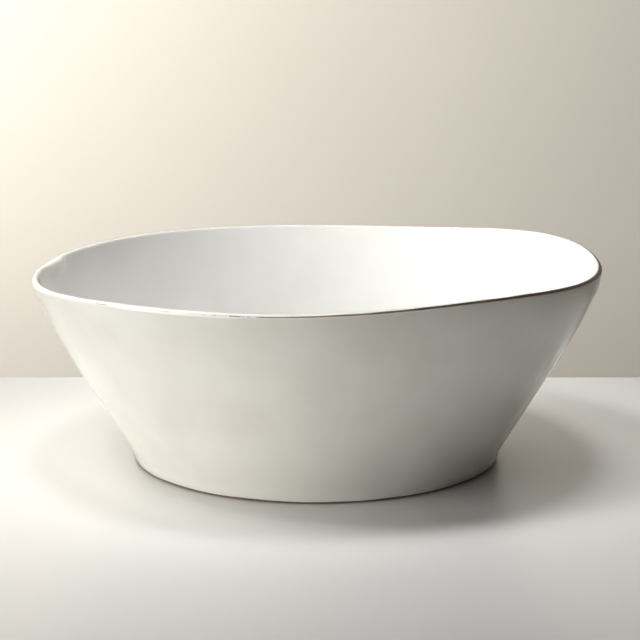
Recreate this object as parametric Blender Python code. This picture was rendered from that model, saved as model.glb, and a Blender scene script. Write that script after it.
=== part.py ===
"""Large serving bowl of brown-firing clay under a white glaze, formed by hand, with a wavy lip.

The bowl stands on the floor at the origin, +Z up, in metres. Every piece is a closed turned solid: an
outline in a vertical plane (distance from the axis, height) is spun round the axis, and the gentle waves
of the lip are then laid over all the pieces alike, so that the coats stay the same distance apart.
"""

import math

import bmesh
import bpy

# Driving dimensions
FOOT_RADIUS = 0.1013
LIP_RADIUS = 0.155
WALL_TOP = 0.1052
FLOOR_TOP = 0.009
LIP_THICKNESS = 0.004
BASE_THICKNESS = 0.006

# Shape of the wall: upright at the foot, then leaning out, and turning upright again below the lip
KNEE = 0.0035
UPTURN = 0.0075
UPTURN_POWER = 5
LEAN = (LIP_RADIUS - FOOT_RADIUS + UPTURN) / (WALL_TOP - KNEE)
CORNER_TOP = 0.017

# Coats
GLAZE = 0.0006
GAP = 0.0003
CLAY_DEPTH = GLAZE + GAP

# Foot
FOOT_WIDTH = 0.0066
FOOT_HEIGHT = 0.0036
FOOT_BEVEL = 0.0005
BARE_CLAY = 0.0016
CLAY_BOTTOM = FOOT_HEIGHT + GAP
CLAY_EDGE = 0.0006

# Brown line on the outer corner of the lip, as degrees round the lip's arc from its outermost point
EDGING_START = 12.5
EDGING_END = 42.0
EDGING_GAP = 12.5

# The hand-formed lip: (waves round the bowl, size, direction of the first crest in degrees)
LIP_RISES = (
    (1, 0.0034, -6.0),
    (2, 0.0003, -90.0),
    (3, 0.0013, 21.0),
    (4, 0.0010, 35.0),
    (5, 0.0006, 18.0),
)
LIP_SPREADS = ((2, 0.0004, -45.0), (4, 0.0006, -22.5))

# Fineness of the solids
TURN_STEPS = 48
WALL_STEPS = 7
LIP_STEPS = 3
CORNER_STEPS = 3
MERGE_DISTANCE = 1e-6


def wall_radius(height):
    """Radius of the outer glazed surface at a height."""
    lean_height = height - KNEE + KNEE * math.exp(-height / KNEE)
    return FOOT_RADIUS + LEAN * lean_height - UPTURN * (height / WALL_TOP) ** UPTURN_POWER


def wall_angle(height):
    """How far the wall leans out from upright at a height, in radians."""
    straight = LEAN * (1.0 - math.exp(-height / KNEE))
    turning = UPTURN_POWER * UPTURN / WALL_TOP * (height / WALL_TOP) ** (UPTURN_POWER - 1)
    return math.atan(straight - turning)


def into_wall(height, depth):
    """Point at a depth below the outer surface, square to it."""
    angle = wall_angle(height)
    return wall_radius(height) - depth * math.cos(angle), height + depth * math.sin(angle)


def wall_thickness(height):
    """Thickness of the whole wall, thinner towards the lip."""
    return BASE_THICKNESS + (LIP_THICKNESS - BASE_THICKNESS) * height / WALL_TOP


def wall_levels(lowest):
    """Heights at which the wall's outline has points, closer together near the foot."""
    levels = [WALL_TOP * (step / WALL_STEPS) ** 1.4 for step in range(WALL_STEPS + 1)]
    return [lowest] + [level for level in levels if level > lowest + CLAY_EDGE]


def outer_wall(lowest, depth):
    """Outer side of the wall, from a height up to the lip."""
    return [into_wall(height, depth) for height in wall_levels(lowest)]


def lip(start, end, depth):
    """Arc over the lip between two angles in degrees, from the outside (0) towards the inside (180)."""
    radius = LIP_THICKNESS / 2.0
    centre_r, centre_z = into_wall(WALL_TOP, radius)
    angles = [math.radians(start + (end - start) * step / LIP_STEPS) for step in range(LIP_STEPS + 1)]
    reach = radius - depth
    return [(centre_r + reach * math.cos(angle), centre_z + reach * math.sin(angle)) for angle in angles]


def inner_wall(depth):
    """Inner side of the wall, from the lip down to the inside corner."""
    heights = reversed(wall_levels(CORNER_TOP))
    return [into_wall(height, wall_thickness(height) - depth) for height in heights]


def inside_floor(depth):
    """Rounded inside corner and the flat floor, down to the axis."""
    top_angle = wall_angle(CORNER_TOP)
    join_r, join_z = into_wall(CORNER_TOP, wall_thickness(CORNER_TOP))
    radius = (join_z - FLOOR_TOP) / (1.0 - math.sin(top_angle))
    centre_r = join_r - radius * math.cos(top_angle)
    centre_z = FLOOR_TOP + radius
    corner = []
    for step in range(1, CORNER_STEPS + 1):
        angle = top_angle + (math.pi / 2.0 - top_angle) * step / CORNER_STEPS
        reach = radius + depth
        corner.append((centre_r + reach * math.cos(angle), centre_z - reach * math.sin(angle)))
    return corner + [(0.0, FLOOR_TOP - depth)]


def wave(waves, direction, height):
    """Sum of the waves in one direction from the axis, growing from nothing at the foot."""
    total = sum(size * math.cos(count * (direction - math.radians(crest))) for count, size, crest in waves)
    return total * (height / WALL_TOP) ** 2


def sway(mesh):
    """Lay the lip's waves over a turned mesh."""
    for vert in mesh.verts:
        radius = math.hypot(vert.co.x, vert.co.y)
        if radius < MERGE_DISTANCE:
            continue
        direction = math.atan2(vert.co.y, vert.co.x)
        height = vert.co.z
        spread = 1.0 + wave(LIP_SPREADS, direction, height) / radius
        vert.co.x *= spread
        vert.co.y *= spread
        vert.co.z += wave(LIP_RISES, direction, height)


def turned(name, outline, material):
    """Spin an outline into a closed solid; an outline that starts on the axis also ends there."""
    mesh = bmesh.new()
    verts = [mesh.verts.new((radius, 0.0, height)) for radius, height in outline]
    edges = [mesh.edges.new(pair) for pair in zip(verts, verts[1:])]
    if outline[0][0] > 0.0:
        edges.append(mesh.edges.new((verts[-1], verts[0])))
    bmesh.ops.spin(
        mesh,
        geom=verts + edges,
        cent=(0.0, 0.0, 0.0),
        axis=(0.0, 0.0, 1.0),
        angle=2.0 * math.pi,
        steps=TURN_STEPS,
        use_merge=True,
    )
    bmesh.ops.remove_doubles(mesh, verts=mesh.verts, dist=MERGE_DISTANCE)
    sway(mesh)
    bmesh.ops.recalc_face_normals(mesh, faces=mesh.faces)
    data = bpy.data.meshes.new(name)
    mesh.to_mesh(data)
    mesh.free()
    data.shade_smooth()
    data.set_sharp_from_angle(angle=math.radians(40.0))
    data.materials.append(material)
    bpy.context.scene.collection.objects.link(bpy.data.objects.new(name, data))


def finish(name, colour, roughness):
    """Plain non-metallic material."""
    material = bpy.data.materials.new(name)
    material.use_nodes = True
    shader = material.node_tree.nodes["Principled BSDF"]
    shader.inputs["Base Color"].default_value = (*colour, 1.0)
    shader.inputs["Roughness"].default_value = roughness
    shader.inputs["Metallic"].default_value = 0.0
    material.diffuse_color = (*colour, 1.0)
    return material


def clay_body(material):
    """The shell of clay: flat bottom, flared wall, rounded lip and flat floor."""
    lip_turn = math.degrees(wall_angle(WALL_TOP))
    base_r, base_z = into_wall(CLAY_BOTTOM, CLAY_DEPTH)
    outline = [(0.0, CLAY_BOTTOM), (base_r - CLAY_EDGE, CLAY_BOTTOM)]
    outline += outer_wall(base_z, CLAY_DEPTH)
    outline += lip(-lip_turn, 180.0 - lip_turn, CLAY_DEPTH)[1:-1]
    outline += inner_wall(CLAY_DEPTH)
    outline += inside_floor(CLAY_DEPTH)
    turned("clay_body", outline, material)


def foot_ring(material):
    """The bare ring of clay that the bowl stands on, its lower edges eased."""
    outer = FOOT_RADIUS - CLAY_DEPTH
    inner = outer - FOOT_WIDTH
    outline = [
        (inner + FOOT_BEVEL, 0.0),
        (outer - FOOT_BEVEL, 0.0),
        (outer, FOOT_BEVEL),
        (outer, FOOT_HEIGHT),
        (inner, FOOT_HEIGHT),
        (inner, FOOT_BEVEL),
    ]
    turned("foot_ring", outline, material)


def underside_glaze(material):
    """The coat in the recess, turned down a little on to the inner side of the foot ring."""
    edge = FOOT_RADIUS - CLAY_DEPTH - FOOT_WIDTH - GAP
    bottom = FOOT_HEIGHT - GLAZE
    outline = [
        (0.0, bottom),
        (edge - 2.0 * GLAZE, bottom),
        (edge - GLAZE, bottom - GLAZE),
        (edge - GLAZE, BARE_CLAY),
        (edge, BARE_CLAY),
        (edge, FOOT_HEIGHT),
        (0.0, FOOT_HEIGHT),
    ]
    turned("underside_glaze", outline, material)


def outside_glaze(material):
    """The coat on the outside of the wall, from just above the floor to the brown line."""
    lip_turn = math.degrees(wall_angle(WALL_TOP))
    top = EDGING_START - EDGING_GAP
    surface = outer_wall(BARE_CLAY, 0.0) + lip(-lip_turn, top, 0.0)[1:]
    underside = outer_wall(BARE_CLAY, GLAZE) + lip(-lip_turn, top, GLAZE)[1:]
    turned("outside_glaze", surface + underside[::-1], material)


def rim_edging(material):
    """The brown line round the outer corner of the lip."""
    surface = lip(EDGING_START, EDGING_END, 0.0)
    underside = lip(EDGING_START, EDGING_END, GLAZE)
    turned("rim_edging", surface + underside[::-1], material)


def inside_glaze(material):
    """The coat over the top of the lip, the inside of the wall and the floor."""
    lip_turn = math.degrees(wall_angle(WALL_TOP))
    start = EDGING_END + EDGING_GAP
    surface = lip(start, 180.0 - lip_turn, 0.0)[:-1] + inner_wall(0.0) + inside_floor(0.0)
    underside = lip(start, 180.0 - lip_turn, GLAZE)[:-1] + inner_wall(GLAZE) + inside_floor(GLAZE)
    turned("inside_glaze", surface[::-1] + underside, material)


for old_object in list(bpy.data.objects):
    bpy.data.objects.remove(old_object, do_unlink=True)

bare_clay = finish("bare_clay", (0.30, 0.21, 0.14), 0.85)
white_glaze = finish("white_glaze", (0.84, 0.83, 0.79), 0.12)
brown_edge = finish("brown_edge", (0.20, 0.13, 0.08), 0.5)

foot_ring(bare_clay)
clay_body(bare_clay)
underside_glaze(white_glaze)
outside_glaze(white_glaze)
inside_glaze(white_glaze)
rim_edging(brown_edge)
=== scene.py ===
import math

import bmesh
import bpy
from mathutils import Matrix, Vector, noise


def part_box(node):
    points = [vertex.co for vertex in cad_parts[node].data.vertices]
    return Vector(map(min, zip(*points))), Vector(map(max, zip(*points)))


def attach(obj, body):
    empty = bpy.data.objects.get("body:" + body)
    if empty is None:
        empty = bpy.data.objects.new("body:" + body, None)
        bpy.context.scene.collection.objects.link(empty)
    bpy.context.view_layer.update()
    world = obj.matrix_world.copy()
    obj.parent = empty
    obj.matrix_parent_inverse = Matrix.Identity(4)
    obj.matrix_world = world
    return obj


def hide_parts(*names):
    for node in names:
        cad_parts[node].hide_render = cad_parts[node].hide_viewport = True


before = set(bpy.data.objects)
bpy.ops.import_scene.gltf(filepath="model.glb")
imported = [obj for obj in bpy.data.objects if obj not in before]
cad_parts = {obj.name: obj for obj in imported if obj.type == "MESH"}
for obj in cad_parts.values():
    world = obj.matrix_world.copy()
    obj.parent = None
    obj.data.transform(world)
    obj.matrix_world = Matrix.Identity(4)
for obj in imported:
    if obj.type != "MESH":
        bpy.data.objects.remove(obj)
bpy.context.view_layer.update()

# The clay shell
# One thick-walled shell of brown stoneware clay, pressed over a mould and evened up by hand, so its wall
# dips and swells and its lip rises, falls and thickens. Glaze hides it everywhere but at the foot.
coat_depth = 0.0009
foot_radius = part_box("foot_ring")[1].x + coat_depth
foot_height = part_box("foot_ring")[1].z
floor_top = 0.009
wall_top = 0.1052
lip_radius = 0.155
lip_thickness = 0.004
base_thickness = 0.006
knee = 0.0035
upturn = 0.0075
upturn_power = 5
lean = (lip_radius - foot_radius + upturn) / (wall_top - knee)
corner_top = 0.017
line_start = 12.5
line_end = 42.0
lip_rises = ((1, 0.0034, -6.0), (2, 0.0003, -90.0), (3, 0.0013, 21.0), (4, 0.0010, 35.0), (5, 0.0006, 18.0))
lip_spreads = ((2, 0.0004, -45.0), (4, 0.0006, -22.5))
hand_presses = (
    (-118.0, 0.036, 0.030, 0.0005),
    (-72.0, 0.044, 0.032, 0.0005),
    (-93.0, 0.070, 0.026, -0.0004),
    (-143.0, 0.060, 0.030, 0.0004),
    (-42.0, 0.062, 0.034, -0.0004),
    (-10.0, 0.048, 0.030, 0.0005),
    (28.0, 0.060, 0.034, -0.0005),
    (64.0, 0.040, 0.030, 0.0005),
    (101.0, 0.066, 0.034, 0.0005),
    (139.0, 0.044, 0.032, -0.0004),
    (176.0, 0.060, 0.030, 0.0005),
)
collar_place = 8.0
collar_reach = 32.0
collar_height = 0.0980
collar_tall = 0.0052
collar_size = 0.0013
thick_spot_start = (162.5, 167.5)
thick_spot_end = (169.0, 178.0)
thick_spot_tall = 0.007
thick_spot_size = 0.0026
thin_end_place = -176.0
thin_end_reach = 9.0
thin_end_size = 0.0010
lip_tall = 0.012
lip_top_tall = 0.010
lip_unevenness = 0.00012
floor_unevenness = 0.00015
floor_radius = 0.080
wall_foot_radius = 0.100


def smooth_step(value, low, high):
    """Rise from 0 to 1 as a value goes from low to high."""
    share = min(max((value - low) / (high - low), 0.0), 1.0)
    return share * share * (3.0 - 2.0 * share)


def wall_radius(height):
    """Radius of the outside of the evenly turned wall, glaze and all."""
    lean_height = height - knee + knee * math.exp(-height / knee)
    return foot_radius + lean * lean_height - upturn * (height / wall_top) ** upturn_power


def wall_angle(height):
    """How far the wall leans out from upright."""
    straight = lean * (1.0 - math.exp(-height / knee))
    turning = upturn_power * upturn / wall_top * (height / wall_top) ** (upturn_power - 1)
    return math.atan(straight - turning)


def into_wall(height, depth):
    """Point at a depth below the outside of the wall, square to it."""
    angle = wall_angle(height)
    return wall_radius(height) - depth * math.cos(angle), height + depth * math.sin(angle)


def wall_thickness(height):
    """The wall thins towards the lip."""
    return base_thickness + (lip_thickness - base_thickness) * height / wall_top


lip_turn = math.degrees(wall_angle(wall_top))
lip_centre = into_wall(wall_top, lip_thickness / 2.0)


def outer_wall(lowest, depth, steps):
    """Up the outside of the wall, with points closer together near the foot."""
    heights = [lowest + (wall_top - lowest) * (step / steps) ** 1.4 for step in range(steps + 1)]
    return [into_wall(height, depth) for height in heights]


def over_lip(start, end, depth, steps):
    """Round the lip between two angles in degrees: 0 is its outermost point and 90 its top."""
    reach = lip_thickness / 2.0 - depth
    angles = [math.radians(start + (end - start) * step / steps) for step in range(steps + 1)]
    return [(lip_centre[0] + reach * math.cos(a), lip_centre[1] + reach * math.sin(a)) for a in angles]


def inner_wall(depth, steps):
    """Down the inside of the wall, from the lip to the rounded corner."""
    heights = [wall_top + (corner_top - wall_top) * step / steps for step in range(steps + 1)]
    return [into_wall(height, wall_thickness(height) - depth) for height in heights]


def inside_floor(depth, corner_steps, floor_steps):
    """Round the inside corner and across the floor to the axis."""
    top_angle = wall_angle(corner_top)
    join_r, join_z = into_wall(corner_top, wall_thickness(corner_top))
    radius = (join_z - floor_top) / (1.0 - math.sin(top_angle))
    centre_r = join_r - radius * math.cos(top_angle)
    centre_z = floor_top + radius
    points = []
    for step in range(1, corner_steps + 1):
        angle = top_angle + (math.pi / 2.0 - top_angle) * step / corner_steps
        reach = radius + depth
        points.append((centre_r + reach * math.cos(angle), centre_z - reach * math.sin(angle)))
    for step in range(1, floor_steps + 1):
        points.append((centre_r * (1.0 - step / floor_steps), floor_top - depth))
    return points


def around(direction, height, fineness, seed):
    """Even noise from -1 to 1 that closes on itself round the bowl."""
    place = Vector((lip_radius * math.cos(direction), lip_radius * math.sin(direction), height))
    return noise.noise(place * fineness + Vector((0.0, 0.0, seed)))


def slow_wave(waves, direction, height):
    """Sum of the waves round the bowl in one direction, growing from nothing at the foot."""
    total = sum(size * math.cos(count * (direction - math.radians(crest))) for count, size, crest in waves)
    return total * (height / wall_top) ** 2


def degrees_from(direction, place):
    """Signed angle in degrees between a direction and a place round the bowl."""
    return (math.degrees(direction) - place + 180.0) % 360.0 - 180.0


def pressed(direction, height):
    """How far hands have pushed the wall in or out at a place, nothing at the foot and the lip."""
    push = 0.00030 * around(direction, height, 22.0, 0.7) + 0.00008 * around(direction, height, 60.0, 1.9)
    for place, middle, reach, depth in hand_presses:
        aside = math.radians(degrees_from(direction, place)) * wall_radius(height)
        distance = math.hypot(aside, height - middle) / reach
        if distance < 2.5:
            push -= depth * math.exp(-2.0 * distance**2)
    share = min(max(height / wall_top, 0.0), 1.0)
    return push * math.sin(math.pi * share) ** 0.8


def line_band(direction):
    """Where the brown line starts and ends round the lip: broad towards +X, narrow at the other side."""
    broad = (0.5 + 0.5 * math.cos(direction + math.radians(12.0))) ** 3
    start = 22.0 + 6.0 * broad + 3.0 * around(direction, 0.0, 60.0, 8.1)
    width = 12.0 + 44.0 * broad + 6.0 * around(direction, 0.0, 90.0, 9.4)
    return start, start + width


def bared_and_shaded(direction):
    """How far the glaze has left the edge of the lip: not at all on the left, wholly on the right; the line's
    darkening towards the right is partly this baring and partly painted shade.
    """
    return smooth_step(abs(degrees_from(direction, 175.0)), 56.0, 150.0)


def slid_round_lip(angle, direction):
    """Slide a point of the lip so that the edges of the brown line waver."""
    start, end = line_band(direction)
    even = (-lip_turn, line_start, line_end, 180.0 - lip_turn)
    uneven = (-lip_turn, start, end, 180.0 - lip_turn)
    for low, high, new_low, new_high in zip(even, even[1:], uneven, uneven[1:]):
        if low <= angle <= high:
            return new_low + (new_high - new_low) * (angle - low) / (high - low)
    return angle


def hand_formed(point):
    """Where a point of the evenly turned bowl ends up on the hand-formed one."""
    radius = math.hypot(point.x, point.y)
    if radius < 1e-6:
        return point
    direction = math.atan2(point.y, point.x)
    height = point.z
    across = radius - lip_centre[0]
    above = height - lip_centre[1]
    angle = math.degrees(math.atan2(above, across))
    reach = math.hypot(across, above)
    if reach < 0.6 * lip_thickness and -lip_turn < angle < 180.0 - lip_turn:
        slid = math.radians(slid_round_lip(angle, direction))
        radius = lip_centre[0] + reach * math.cos(slid)
        height = lip_centre[1] + reach * math.sin(slid)
    depth = (wall_radius(height) - radius) * math.cos(wall_angle(height))
    inner_side = smooth_step(depth, 0.0, lip_thickness)
    lip_top = smooth_step(height, wall_top - lip_top_tall, wall_top)
    on_wall = smooth_step(radius, floor_radius, wall_foot_radius)
    turn = math.degrees(direction) % 360.0
    thick_spot = smooth_step(turn, *thick_spot_start) * (1.0 - smooth_step(turn, *thick_spot_end))
    thin_end = math.exp(-((degrees_from(direction, thin_end_place) / thin_end_reach) ** 2))
    inwards = thick_spot_size * thick_spot * smooth_step(height, wall_top - thick_spot_tall, wall_top)
    thicker = lip_unevenness * (1.0 + around(direction, 0.0, 70.0, 3.1)) - thin_end_size * thin_end
    inwards += thicker * smooth_step(height, wall_top - lip_tall, wall_top)
    aside = degrees_from(direction, collar_place) / collar_reach
    collar = collar_size * math.exp(-(aside**2) - ((height - collar_height) / collar_tall) ** 2)
    pushed = (pressed(direction, height) + collar) * on_wall
    moved = radius + slow_wave(lip_spreads, direction, height) + pushed
    moved -= inwards * inner_side
    rise = slow_wave(lip_rises, direction, height)
    rise -= lip_unevenness * (1.0 + around(direction, 0.0, 55.0, 5.3)) * lip_top
    if height > foot_height:
        rise += floor_unevenness * around(direction, radius, 30.0, 2.2) * (1.0 - on_wall)
    return Vector((moved * math.cos(direction), moved * math.sin(direction), height + rise))


def turned(outline, steps):
    """Spin an outline of (radius, height) points; one that starts on the axis also ends there."""
    mesh = bmesh.new()
    verts = [mesh.verts.new((radius, 0.0, height)) for radius, height in outline]
    edges = [mesh.edges.new(pair) for pair in zip(verts, verts[1:])]
    if outline[0][0] > 0.0:
        edges.append(mesh.edges.new((verts[-1], verts[0])))
    bmesh.ops.spin(
        mesh,
        geom=verts + edges,
        cent=(0.0, 0.0, 0.0),
        axis=(0.0, 0.0, 1.0),
        angle=2.0 * math.pi,
        steps=steps,
        use_merge=True,
    )
    bmesh.ops.remove_doubles(mesh, verts=mesh.verts, dist=1e-6)
    bmesh.ops.recalc_face_normals(mesh, faces=mesh.faces)
    return mesh


def set_down(mesh, name, material):
    """Make a mesh into a piece with its finish, smooth all over."""
    data = bpy.data.meshes.new(name)
    mesh.to_mesh(data)
    mesh.free()
    data.shade_smooth()
    data.materials.append(material)
    piece = bpy.data.objects.new(name, data)
    bpy.context.scene.collection.objects.link(piece)
    return piece


def add_node(tree, kind, inputs=None, **settings):
    """Add a shader node; an input is given a value, or another node's output to read."""
    added = tree.nodes.new(kind)
    for name, value in settings.items():
        setattr(added, name, value)
    for name, value in (inputs or {}).items():
        if isinstance(value, bpy.types.NodeSocket):
            tree.links.new(value, added.inputs[name])
        else:
            added.inputs[name].default_value = value
    return added


def new_finish(name):
    """Empty material: its node tree, its shader and the place on the piece in metres."""
    material = bpy.data.materials.new(name)
    material.use_nodes = True
    tree = material.node_tree
    place = add_node(tree, "ShaderNodeTexCoord").outputs["Object"]
    return material, tree, tree.nodes["Principled BSDF"], place


def patches(tree, place, across, detail, seed):
    """Noise from 0 to 1 whose patches are about as far apart as given, in metres."""
    inputs = {"Vector": place, "Scale": 1.0 / across, "Detail": detail, "W": seed}
    return add_node(tree, "ShaderNodeTexNoise", inputs, noise_dimensions="4D").outputs["Fac"]


def spread(tree, value, low, high, new_low=0.0, new_high=1.0):
    """Stretch the part of a value between low and high, smoothly, to new limits."""
    inputs = {"Value": value, "From Min": low, "From Max": high, "To Min": new_low, "To Max": new_high}
    return add_node(tree, "ShaderNodeMapRange", inputs, interpolation_type="SMOOTHSTEP").outputs["Result"]


def reckon(tree, operation, first, second):
    """Arithmetic on two values."""
    return add_node(tree, "ShaderNodeMath", {0: first, 1: second}, operation=operation).outputs["Value"]


def tint(tree, share, first, second):
    """Mix two colours by a share; each is red, green and blue, or another node's output."""
    inputs = {0: share}
    for socket, colour in ((6, first), (7, second)):
        inputs[socket] = colour if isinstance(colour, bpy.types.NodeSocket) else (*colour, 1.0)
    return add_node(tree, "ShaderNodeMix", inputs, data_type="RGBA").outputs[2]


def relief(tree, height, distance, under=None):
    """Bump of a height field of 0 to 1 that stands a distance in metres proud, on top of another."""
    inputs = {"Height": height, "Distance": distance, "Strength": 1.0}
    if under is not None:
        inputs["Normal"] = under
    return add_node(tree, "ShaderNodeBump", inputs).outputs["Normal"]


def clay_finish():
    """Bare fired clay: brown, dry, gritty, with grog specks and a darker toasted bloom."""
    material, tree, shader, place = new_finish("bare_brown_clay")
    bloom = spread(tree, patches(tree, place, 0.020, 3.0, 1.0), 0.35, 0.70)
    grain = patches(tree, place, 0.0016, 3.0, 2.0)
    grog = add_node(tree, "ShaderNodeTexVoronoi", {"Vector": place, "Scale": 1.0 / 0.0022})
    specks = spread(tree, grog.outputs["Distance"], 0.30, 0.16)
    colour = tint(tree, bloom, (0.185, 0.130, 0.085), (0.105, 0.074, 0.048))
    colour = tint(tree, spread(tree, grain, 0.35, 0.75, 0.0, 0.45), colour, (0.27, 0.20, 0.135))
    colour = tint(tree, reckon(tree, "MULTIPLY", specks, 0.5), colour, (0.06, 0.043, 0.030))
    tree.links.new(colour, shader.inputs["Base Color"])
    tree.links.new(spread(tree, grain, 0.30, 0.70, 0.78, 0.95), shader.inputs["Roughness"])
    rough = relief(tree, grain, 0.00010)
    tree.links.new(relief(tree, specks, 0.00006, rough), shader.inputs["Normal"])
    return material


bare_clay = clay_finish()
clay_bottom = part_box("clay_body")[0].z
clay_edge = 0.0006
shell_base = into_wall(clay_bottom, coat_depth)
shell_outline = [(0.0, clay_bottom), (shell_base[0] - clay_edge, clay_bottom)]
shell_outline += outer_wall(shell_base[1], coat_depth, 24)
shell_outline += over_lip(-lip_turn, 180.0 - lip_turn, coat_depth, 10)[1:-1]
shell_outline += inner_wall(coat_depth, 20)
shell_outline += inside_floor(coat_depth, 8, 8)
shell_mesh = turned(shell_outline, 192)
for vert in shell_mesh.verts:
    vert.co = hand_formed(vert.co)
clay_shell = set_down(shell_mesh, "clay_shell", bare_clay)
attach(clay_shell, "root")
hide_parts("clay_body")

# The foot
# The ring that the bowl stands on, turned from the same clay and wiped clean of glaze so that it doesn't
# stick to the kiln shelf. Its lower edges are rounded by the wiping, and its face is flat.
foot_outer = foot_radius - 0.0004
foot_width = 0.0066
foot_easing = 0.0010

foot_outline = [
    (foot_outer - foot_width, 0.0),
    (foot_outer, 0.0),
    (foot_outer, clay_bottom),
    (foot_outer - foot_width, clay_bottom),
]
foot_mesh = turned(foot_outline, 384)
across_edges = [
    edge
    for edge in foot_mesh.edges
    if abs(edge.verts[0].co.length - edge.verts[1].co.length) > 0.001
]
bmesh.ops.subdivide_edges(foot_mesh, edges=across_edges, cuts=3)
lower_edges = [
    edge
    for edge in foot_mesh.edges
    if edge.calc_face_angle(0.0) > 1.0 and edge.verts[0].co.z < 0.001
]
bmesh.ops.bevel(
    foot_mesh,
    geom=lower_edges,
    offset=foot_easing,
    offset_type="OFFSET",
    affect="EDGES",
    segments=5,
    profile=0.5,
    material=-1,
)
for vert in foot_mesh.verts:
    direction = math.atan2(vert.co.y, vert.co.x)
    wobble = 0.00012 * around(direction, 0.0, 60.0, 4.4) * smooth_step(vert.co.z, 0.0, 0.0015)
    radius = math.hypot(vert.co.x, vert.co.y)
    vert.co.x *= 1.0 + wobble / radius
    vert.co.y *= 1.0 + wobble / radius
bmesh.ops.recalc_face_normals(foot_mesh, faces=foot_mesh.faces)
bare_foot = set_down(foot_mesh, "bare_foot", bare_clay)
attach(bare_foot, "root")
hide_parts("foot_ring")

# The glaze under the bowl
# White glaze poured over the recess inside the foot. It gathers in the corner against the ring, and stops
# short of the face that the bowl stands on.
bare_height = 0.0011
recess_edge = foot_outer - foot_width
recess_coat = 0.0006
recess_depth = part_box("underside_glaze")[1].z - recess_coat
fillet = 0.0012


def glaze_finish(name, thick_colour, thin_colour):
    """Glossy off-white glaze: cloudy, thinner and tan where it runs out, with a few pinholes."""
    material, tree, shader, place = new_finish(name)
    clouds = patches(tree, place, 0.085, 2.0, 3.0)
    mottle = patches(tree, place, 0.024, 3.0, 4.0)
    depth = reckon(tree, "ADD", reckon(tree, "MULTIPLY", clouds, 0.6), reckon(tree, "MULTIPLY", mottle, 0.4))
    colour = tint(tree, spread(tree, depth, 0.38, 0.62), thin_colour, thick_colour)
    thin = add_node(tree, "ShaderNodeAttribute", attribute_name="thinness").outputs["Fac"]
    fray = patches(tree, place, 0.0022, 3.0, 5.0)
    broken = spread(tree, reckon(tree, "ADD", thin, reckon(tree, "MULTIPLY", fray, 0.5)), 0.45, 1.35)
    colour = tint(tree, broken, colour, (0.44, 0.33, 0.21))
    cells = add_node(tree, "ShaderNodeTexVoronoi", {"Vector": place, "Scale": 1.0 / 0.013})
    chosen = add_node(tree, "ShaderNodeSeparateColor", {"Color": cells.outputs["Color"]}).outputs["Red"]
    dots = spread(tree, cells.outputs["Distance"], 0.030, 0.016)
    dots = reckon(tree, "MULTIPLY", dots, spread(tree, chosen, 0.80, 0.84))
    colour = tint(tree, reckon(tree, "MULTIPLY", dots, 0.45), colour, (0.42, 0.33, 0.23))
    tree.links.new(colour, shader.inputs["Base Color"])
    gloss = spread(tree, mottle, 0.30, 0.70, 0.045, 0.085)
    gloss = reckon(tree, "ADD", gloss, reckon(tree, "MULTIPLY", broken, 0.22))
    tree.links.new(gloss, shader.inputs["Roughness"])
    peel = relief(tree, patches(tree, place, 0.0040, 1.0, 6.0), 0.000010)
    soft = relief(tree, mottle, 0.00006, peel)
    tree.links.new(relief(tree, dots, -0.00008, soft), shader.inputs["Normal"])
    shader.inputs["IOR"].default_value = 1.52
    return material


def thinning(mesh, edge, reach):
    """Mark how near the glaze is to an edge where it runs out, from 1 there to 0 away from it."""
    layer = mesh.verts.layers.float.get("thinness") or mesh.verts.layers.float.new("thinness")
    on_lip = edge[1] > lip_centre[1]
    for vert in mesh.verts:
        distance = math.hypot(math.hypot(vert.co.x, vert.co.y) - edge[0], vert.co.z - edge[1])
        # On the lip the tan grows towards the right with the bared line, partly as painted shade.
        share = bared_and_shaded(math.atan2(vert.co.y, vert.co.x)) if on_lip else 1.0
        vert[layer] = max(vert[layer], share * math.exp(-distance / reach))


recess_glaze_finish = glaze_finish("white_glaze_below", (0.80, 0.79, 0.75), (0.75, 0.73, 0.68))
fillet_centre = (recess_edge - fillet, recess_depth - fillet)
recess_outline = [(0.0, clay_bottom), (recess_edge, clay_bottom), (recess_edge, bare_height)]
recess_outline.append((recess_edge - 0.0003, bare_height + 0.0001))
recess_outline.append((recess_edge - 0.00055, bare_height + 0.0004))
for step in range(7):
    angle = math.radians(90.0 * step / 6)
    recess_outline.append((
        fillet_centre[0] - recess_coat + fillet * math.cos(angle),
        fillet_centre[1] + recess_coat + (fillet - recess_coat) * math.sin(angle),
    ))
recess_outline += [(fillet_centre[0] * (1.0 - step / 24), recess_depth) for step in range(1, 25)]
recess_mesh = turned(recess_outline, 256)
thinning(recess_mesh, (recess_edge, bare_height), 0.0005)
for vert in recess_mesh.verts:
    direction = math.atan2(vert.co.y, vert.co.x)
    radius = math.hypot(vert.co.x, vert.co.y)
    if vert.co.z < clay_bottom - 0.0002:
        sag = 0.00022 * around(direction, radius, 40.0, 6.6) + 0.00006 * math.cos(radius / 0.0016)
        vert.co.z += sag * (1.0 - smooth_step(radius, recess_edge - 0.006, recess_edge - 0.001))
recess_glaze = set_down(recess_mesh, "recess_glaze", recess_glaze_finish)
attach(recess_glaze, "root")
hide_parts("underside_glaze")

# The glaze outside
# The bowl was dipped, so the wall has one even coat from the lip to just above the foot. There the glaze
# gathered in a soft roll; at the lip it pulled thin and lets the clay's colour through.
roll_height = 0.0038
roll_reach = 0.0021
roll_size = 0.00034

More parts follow.
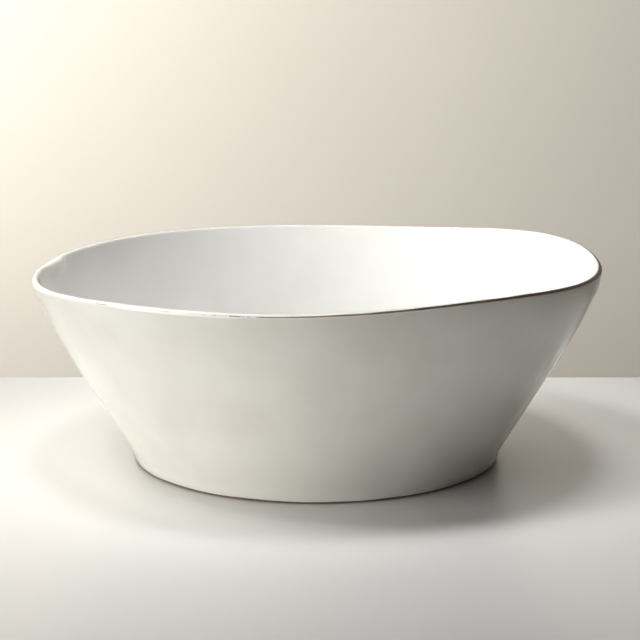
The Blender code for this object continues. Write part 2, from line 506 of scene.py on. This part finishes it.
line_lower_edge = over_lip(line_start, line_start, 0.0, 1)[0]
outside_surface = [(foot_outer, bare_height), (foot_outer + 0.0005, bare_height + 0.0001)]
outside_surface += outer_wall(bare_height + 0.0005, 0.0, 72)
outside_surface += over_lip(-lip_turn, line_start, 0.0, 8)[1:]
outside_back = outer_wall(bare_height + 0.0005, coat_depth, 24)
outside_back += over_lip(-lip_turn, line_start, coat_depth, 8)[1:]
outside_mesh = turned(outside_surface + outside_back[::-1], 384)
thinning(outside_mesh, line_lower_edge, 0.0004)
thinning(outside_mesh, (foot_outer, bare_height), 0.0005)
for vert in outside_mesh.verts:
    direction = math.atan2(vert.co.y, vert.co.x)
    height = vert.co.z
    stretch = 1.0 + roll_size * math.exp(-(((height - roll_height) / roll_reach) ** 2)) / foot_radius
    run = 0.0003 * around(direction, 0.0, 35.0, 7.7) * (1.0 - smooth_step(height, 0.002, 0.008))
    vert.co = hand_formed(Vector((vert.co.x * stretch, vert.co.y * stretch, height + run)))
# Painted shade: this glaze is greyer than the same glaze inside, standing in for the shade on the outside
# wall.
outer_glaze_shaded_finish = glaze_finish("white_glaze_outside_shaded", (0.745, 0.73, 0.672), (0.685, 0.665, 0.60))
outer_glaze = set_down(outside_mesh, "outer_glaze", outer_glaze_shaded_finish)
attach(outer_glaze, "root")
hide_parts("outside_glaze")

# The glaze inside
# White glaze poured in and swirled round before the bowl was dipped. It is one coat over the top of the lip,
# down the inside of the wall, round the soft corner and across the floor.
line_upper_edge = over_lip(line_end, line_end, 0.0, 1)[0]
inside_surface = over_lip(line_end, 180.0 - lip_turn, 0.0, 20)[:-1]
inside_surface += inner_wall(0.0, 52) + inside_floor(0.0, 14, 26)
inside_back = over_lip(line_end, 180.0 - lip_turn, coat_depth, 8)[:-1]
inside_back += inner_wall(coat_depth, 20) + inside_floor(coat_depth, 8, 8)
inside_mesh = turned(inside_surface[::-1] + inside_back, 384)
thinning(inside_mesh, line_upper_edge, 0.0003)
for vert in inside_mesh.verts:
    vert.co = hand_formed(vert.co)
# Painted light: this glaze is whiter than the same glaze outside, standing in for the light that falls inside
# the bowl.
inner_glaze_lit_finish = glaze_finish("white_glaze_inside_lit", (0.90, 0.895, 0.87), (0.86, 0.85, 0.82))
inner_glaze = set_down(inside_mesh, "inner_glaze", inner_glaze_lit_finish)
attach(inner_glaze, "root")
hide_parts("inside_glaze")

# The brown line
# Along the outer corner of the lip the glaze broke away from the edge in the firing and shows the brown body.
# The line is broad and dark on one side, breaks up at the front, and is glazed over on the other side. Its
# darkness on the broad side is partly bared clay and partly painted shade.


def brown_line_finish():
    """Toasted clay, paler and then glazed over in broken stretches where less of it is bared; its darkening
    where more is bared is partly painted shade.
    """
    material, tree, shader, place = new_finish("brown_lip_edge")
    bared_and_shaded_share = add_node(tree, "ShaderNodeAttribute", attribute_name="bared_and_shaded").outputs["Fac"]
    toasted = patches(tree, place, 0.006, 3.0, 7.0)
    grain = patches(tree, place, 0.0012, 3.0, 8.0)
    uneven = reckon(tree, "ADD", bared_and_shaded_share, reckon(tree, "MULTIPLY", reckon(tree, "SUBTRACT", toasted, 0.5), 0.9))
    # Painted shade in part: the line goes nearly black where it is most bared, on the right.
    colour = tint(tree, spread(tree, uneven, 0.15, 0.90), (0.27, 0.205, 0.145), (0.050, 0.035, 0.025))
    colour = tint(tree, spread(tree, grain, 0.45, 0.80, 0.0, 0.4), colour, (0.22, 0.155, 0.105))
    fray = reckon(tree, "MULTIPLY", reckon(tree, "SUBTRACT", grain, 0.5), 0.35)
    glazed = spread(tree, reckon(tree, "ADD", uneven, fray), 0.24, 0.02)
    colour = tint(tree, glazed, colour, (0.76, 0.75, 0.71))
    tree.links.new(colour, shader.inputs["Base Color"])
    sheen = spread(tree, grain, 0.30, 0.70, 0.30, 0.48)
    sheen = reckon(tree, "ADD", sheen, reckon(tree, "MULTIPLY", glazed, -0.25))
    tree.links.new(sheen, shader.inputs["Roughness"])
    tree.links.new(relief(tree, grain, 0.00004), shader.inputs["Normal"])
    return material


line_depth = 0.00006
line_surface = over_lip(line_start, line_end, line_depth, 10)
line_back = over_lip(line_start, line_end, coat_depth, 4)
line_mesh = turned(line_surface + line_back[::-1], 512)
bared_and_shaded_layer = line_mesh.verts.layers.float.new("bared_and_shaded")
for vert in line_mesh.verts:
    vert[bared_and_shaded_layer] = bared_and_shaded(math.atan2(vert.co.y, vert.co.x))
    vert.co = hand_formed(vert.co)
lip_line = set_down(line_mesh, "lip_line", brown_line_finish())
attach(lip_line, "root")
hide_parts("rim_edging")

# The table and the backdrop
# A plain pale table top, whose far edge is close behind the bowl, and a plain warm backdrop well beyond it.
# Both are painted: the table satin, the backdrop dull.
table_back = 0.181
table_size = 1.4
table_thickness = 0.030
wall_distance = 1.75


def painted_finish(name, colour, other_colour, roughness):
    """Plain paint, very slightly uneven in colour."""
    material, tree, shader, place = new_finish(name)
    uneven = patches(tree, place, 0.25, 3.0, 9.0)
    tree.links.new(tint(tree, uneven, colour, other_colour), shader.inputs["Base Color"])
    shader.inputs["Roughness"].default_value = roughness
    return material


table_mesh = bmesh.new()
bmesh.ops.create_cube(table_mesh, size=1.0)
bmesh.ops.scale(
    table_mesh,
    vec=(2.0 * table_size, table_size + table_back, table_thickness),
    verts=table_mesh.verts,
)
bmesh.ops.translate(
    table_mesh,
    vec=(0.0, (table_back - table_size) / 2.0, -table_thickness / 2.0),
    verts=table_mesh.verts,
)
bmesh.ops.bevel(
    table_mesh,
    geom=table_mesh.edges[:],
    offset=0.0015,
    offset_type="OFFSET",
    affect="EDGES",
    segments=3,
    profile=0.5,
    material=-1,
)
table_finish = painted_finish("pale_table", (0.87, 0.865, 0.85), (0.89, 0.885, 0.87), 0.30)
table = set_down(table_mesh, "table_top", table_finish)
table.data.set_sharp_from_angle(angle=math.radians(30.0))

backdrop_mesh = bmesh.new()
bmesh.ops.create_grid(backdrop_mesh, x_segments=1, y_segments=1, size=2.6)
bmesh.ops.rotate(
    backdrop_mesh,
    cent=(0.0, 0.0, 0.0),
    matrix=Matrix.Rotation(math.radians(90.0), 3, "X"),
    verts=backdrop_mesh.verts,
)
bmesh.ops.translate(backdrop_mesh, vec=(0.0, wall_distance, 0.6), verts=backdrop_mesh.verts)
backdrop_finish = painted_finish("warm_backdrop", (0.77, 0.72, 0.625), (0.80, 0.75, 0.655), 0.9)
backdrop = set_down(backdrop_mesh, "backdrop", backdrop_finish)

# The studio
# Two soft boxes low at the left and in front, and a weak broad one high at the back. Two small lights hang
# overhead, and two more wash the backdrop from the left. None of them is seen, and the overhead ones aren't
# mirrored in the glaze either.
light_colour = (1.0, 0.992, 0.978)


def soft_light(name, place, aim, width, height, power, spread=180.0):
    """Rectangular soft light that shines from one place towards another; a narrow one isn't mirrored."""
    light = bpy.data.lights.new(name, "AREA")
    light.shape = "RECTANGLE"
    light.size = width
    light.size_y = height
    light.energy = power
    light.color = light_colour
    light.spread = math.radians(spread)
    lamp = bpy.data.objects.new(name, light)
    lamp.location = place
    lamp.rotation_euler = (Vector(aim) - Vector(place)).to_track_quat("-Z", "Y").to_euler()
    lamp.visible_camera = False
    lamp.visible_glossy = spread > 90.0
    bpy.context.scene.collection.objects.link(lamp)


bowl_middle = (0.0, 0.0, 0.08)
soft_light("front_left", (-1.3, -1.5, 0.4), bowl_middle, 1.0, 0.6, 12.5)
soft_light("left", (-1.7, -0.7, 0.4), bowl_middle, 1.0, 0.6, 17.0)
soft_light("back_high", (0.2, 1.35, 1.5), bowl_middle, 1.8, 1.0, 3.5)
soft_light("over", (0.0, 0.0, 1.2), bowl_middle, 0.4, 0.4, 0.30, spread=30.0)
soft_light("over_left", (-0.5, -0.2, 1.3), bowl_middle, 0.4, 0.4, 0.36, spread=30.0)
soft_light("backdrop_middle", (-0.6, 0.8, 1.6), (0.0, wall_distance, 0.2), 0.8, 0.8, 5.0, spread=110.0)
soft_light("backdrop_left", (-1.9, 0.9, 1.0), (-0.6, wall_distance, 0.2), 0.8, 1.2, 29.0, spread=110.0)

world = bpy.data.worlds.new("studio_air")
world.use_nodes = True
world.node_tree.nodes["Background"].inputs["Color"].default_value = (1.0, 0.98, 0.95, 1.0)
world.node_tree.nodes["Background"].inputs["Strength"].default_value = 0.03
bpy.context.scene.world = world
bpy.context.scene.view_settings.view_transform = "Standard"

# The camera
# It looks a little down on the bowl from the front, from about a metre away.
camera_aim = Vector((0.0021, 0.0, 0.0748))
camera_distance = 0.950
camera_elevation = math.radians(11.27)
camera_data = bpy.data.cameras.new("front_camera")
camera_data.lens = 96.3
camera_data.sensor_width = 36.0
camera_data.clip_start = 0.01
camera = bpy.data.objects.new("front_camera", camera_data)
back_off = Vector((0.0, -math.cos(camera_elevation), math.sin(camera_elevation)))
camera.location = camera_aim + camera_distance * back_off
camera.rotation_euler = (-back_off).to_track_quat("-Z", "Y").to_euler()
bpy.context.scene.collection.objects.link(camera)
bpy.context.scene.camera = camera
